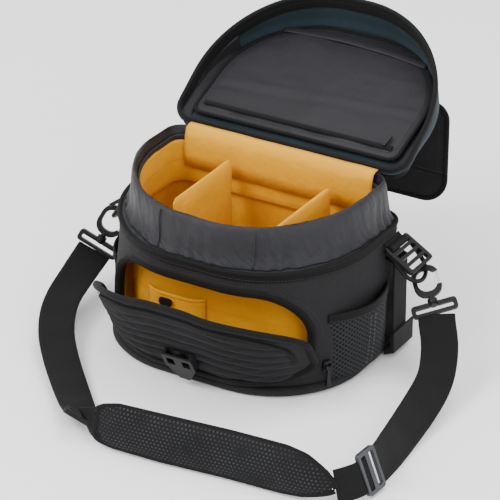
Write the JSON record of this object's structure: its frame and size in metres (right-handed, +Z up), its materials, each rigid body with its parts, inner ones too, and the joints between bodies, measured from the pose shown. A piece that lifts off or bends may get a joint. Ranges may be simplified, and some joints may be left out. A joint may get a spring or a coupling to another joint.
{
  "type": "camera shoulder bag",
  "caption": "Open padded camera shoulder bag with a thrown-back lid, yellow lining and dividers, a dropped front pocket, mesh side pockets and a webbing strap with a shoulder pad.",
  "frame": {"origin": "middle of the underside of the base, on the floor it stands on", "axes": "+X towards the bag's right-hand side as seen from its front, +Y towards its back where the lid hinges, +Z up"},
  "size_m": [0.4819, 0.5182, 0.2986],
  "materials": {
    "shell_fabric": "matte",
    "collar_fabric": "satin",
    "lid_fabric": "matte",
    "lid_lining_fabric": "matte",
    "yellow_lining": "matte",
    "binding_tape": "matte",
    "webbing": "matte",
    "mesh": "matte",
    "pad_fabric": "matte",
    "zip_tape": "matte",
    "black_plastic": "matte",
    "grey_plastic": "matte",
    "zip_metal": "satin",
    "gate_steel": "satin",
    "grip_rubber": "matte"
  },
  "bodies": {
    "bag": {"base_panel": "shell_fabric", "body_wall": "shell_fabric", "back_panel": "shell_fabric", "seam_zip": "zip_tape", "collar": "collar_fabric", "lining_tub": "yellow_lining", "lining_shelf": "yellow_lining", "lining_upper": "yellow_lining", "pocket_lining": "yellow_lining", "pocket_sleeve": "yellow_lining", "sleeve_tab": "grip_rubber", "pocket_binding": "binding_tape", "pocket_slider": "zip_metal", "mesh_pocket_left": "mesh", "mesh_pocket_right": "mesh", "mesh_band_left": "binding_tape", "mesh_band_right": "binding_tape", "side_web_left": "webbing", "side_web_right": "webbing", "side_patch_left": "shell_fabric", "side_patch_right": "shell_fabric", "ring_web_left": "webbing", "ring_web_right": "webbing", "lid_hinge_strip": "binding_tape", "main_slider": "zip_metal", "hook_frame_left": "black_plastic", "hook_frame_right": "black_plastic", "strap_web_right": "webbing", "strap_glide": "grey_plastic", "strap_web_short": "webbing", "shoulder_pad": "pad_fabric", "strap_web_tail": "webbing", "strap_adjuster": "grey_plastic", "strap_web_left": "webbing"},
    "pocket_panel": {"panel_shell": "shell_fabric", "panel_binding": "binding_tape", "buckle_receiver": "grey_plastic"},
    "pocket_pull": {"pocket_puller": "zip_metal"},
    "main_pull": {"main_puller": "zip_metal"},
    "lid": {"lid_shell": "lid_fabric", "lid_binding": "binding_tape", "lid_lining": "lid_lining_fabric", "lid_pocket_band": "zip_tape", "lid_pocket_zip": "zip_tape"},
    "lid_pull": {"lid_puller": "zip_metal"},
    "flap": {"weather_flap": "shell_fabric"},
    "flap_end": {"flap_edge": "shell_fabric"},
    "buckle_strap": {"buckle_web": "webbing", "buckle_prongs": "black_plastic"},
    "left_divider": {"divider_left": "yellow_lining"},
    "right_divider": {"divider_right": "yellow_lining"},
    "left_ring": {"ring_left": "black_plastic"},
    "right_ring": {"ring_right": "black_plastic"},
    "left_hook": {"hook_left": "black_plastic"},
    "right_hook": {"hook_right": "black_plastic"},
    "left_gate": {"gate_left": "gate_steel"},
    "right_gate": {"gate_right": "gate_steel"}
  },
  "joints": [
    {"name": "lid_hinge", "type": "hinge", "parent": "bag", "child": "lid", "pos_m": [0, 0.088, 0.192], "axis": [-1, 0, 0], "range_deg": [-159, 0]},
    {"name": "flap_hinge", "type": "hinge", "parent": "lid", "child": "flap", "pos_m": [0, 0.1941, 0.22255], "axis": [-1, 0, 0], "range_deg": [-90, 15]},
    {"name": "flap_fold", "type": "hinge", "parent": "flap", "child": "flap_end", "pos_m": [0, 0.1971, 0.14455], "axis": [-1, 0, 0], "range_deg": [-90, 0]},
    {"name": "buckle_swing", "type": "hinge", "parent": "flap_end", "child": "buckle_strap", "pos_m": [0, 0.1941, 0.10955], "axis": [-1, 0, 0], "range_deg": [0, 30]},
    {"name": "pocket_panel_drop", "type": "hinge", "parent": "bag", "child": "pocket_panel", "pos_m": [0, -0.099, 0.014], "axis": [1, 0, 0], "range_deg": [-28, 0]},
    {"name": "pocket_pull_swing", "type": "hinge", "parent": "bag", "child": "pocket_pull", "pos_m": [0.13146, -0.04811, 0.03], "axis": [0.4651, 0.8852, 0], "range_deg": [-25, 0]},
    {"name": "main_pull_swing", "type": "hinge", "parent": "bag", "child": "main_pull", "pos_m": [0.104, 0.0986, 0.1432], "axis": [-1, 0, 0], "range_deg": [-100, 0]},
    {"name": "lid_pull_swing", "type": "hinge", "parent": "lid", "child": "lid_pull", "pos_m": [0.104, 0.11152, 0.20606], "axis": [1, 0, 0], "range_deg": [0, 140]},
    {"name": "left_divider_slide", "type": "slide", "parent": "bag", "child": "left_divider", "axis": [1, 0, 0], "range_m": [-0.012, 0.012]},
    {"name": "right_divider_slide", "type": "slide", "parent": "bag", "child": "right_divider", "axis": [1, 0, 0], "range_m": [-0.012, 0.008]},
    {"name": "right_ring_swing", "type": "hinge", "parent": "bag", "child": "right_ring", "pos_m": [0.148, 0.062, 0.125], "axis": [0, 1, 0], "range_deg": [-0.5, 0.5]},
    {"name": "left_ring_swing", "type": "hinge", "parent": "bag", "child": "left_ring", "pos_m": [-0.153, 0.05, 0.117], "axis": [-0.1918, 0.9499, -0.2467], "range_deg": [-3, 3]},
    {"name": "left_hook_swivel", "type": "hinge", "parent": "bag", "child": "left_hook", "pos_m": [-0.18665, 0.02797, 0.06528], "axis": [0.3606, 0.3807, 0.8515], "range_deg": [-5, 5]},
    {"name": "left_gate_spring", "type": "hinge", "parent": "left_hook", "child": "left_gate", "pos_m": [-0.17254, 0.03441, 0.06817], "axis": [0.359, -0.8993, 0.25], "range_deg": [0, 22], "stiffness_Nm_per_rad": 0.02, "springref_deg": -11.46},
    {"name": "right_hook_swivel", "type": "hinge", "parent": "bag", "child": "right_hook", "pos_m": [0.19139, 0.05473, 0.08247], "axis": [-0.5993, 0.5194, 0.6092], "range_deg": [-2, 2]},
    {"name": "right_gate_spring", "type": "hinge", "parent": "right_hook", "child": "right_gate", "pos_m": [0.19471, 0.06724, 0.09148], "axis": [0.2414, -0.6084, 0.7561], "range_deg": [0, 22], "stiffness_Nm_per_rad": 0.02, "springref_deg": -11.46}
  ]
}
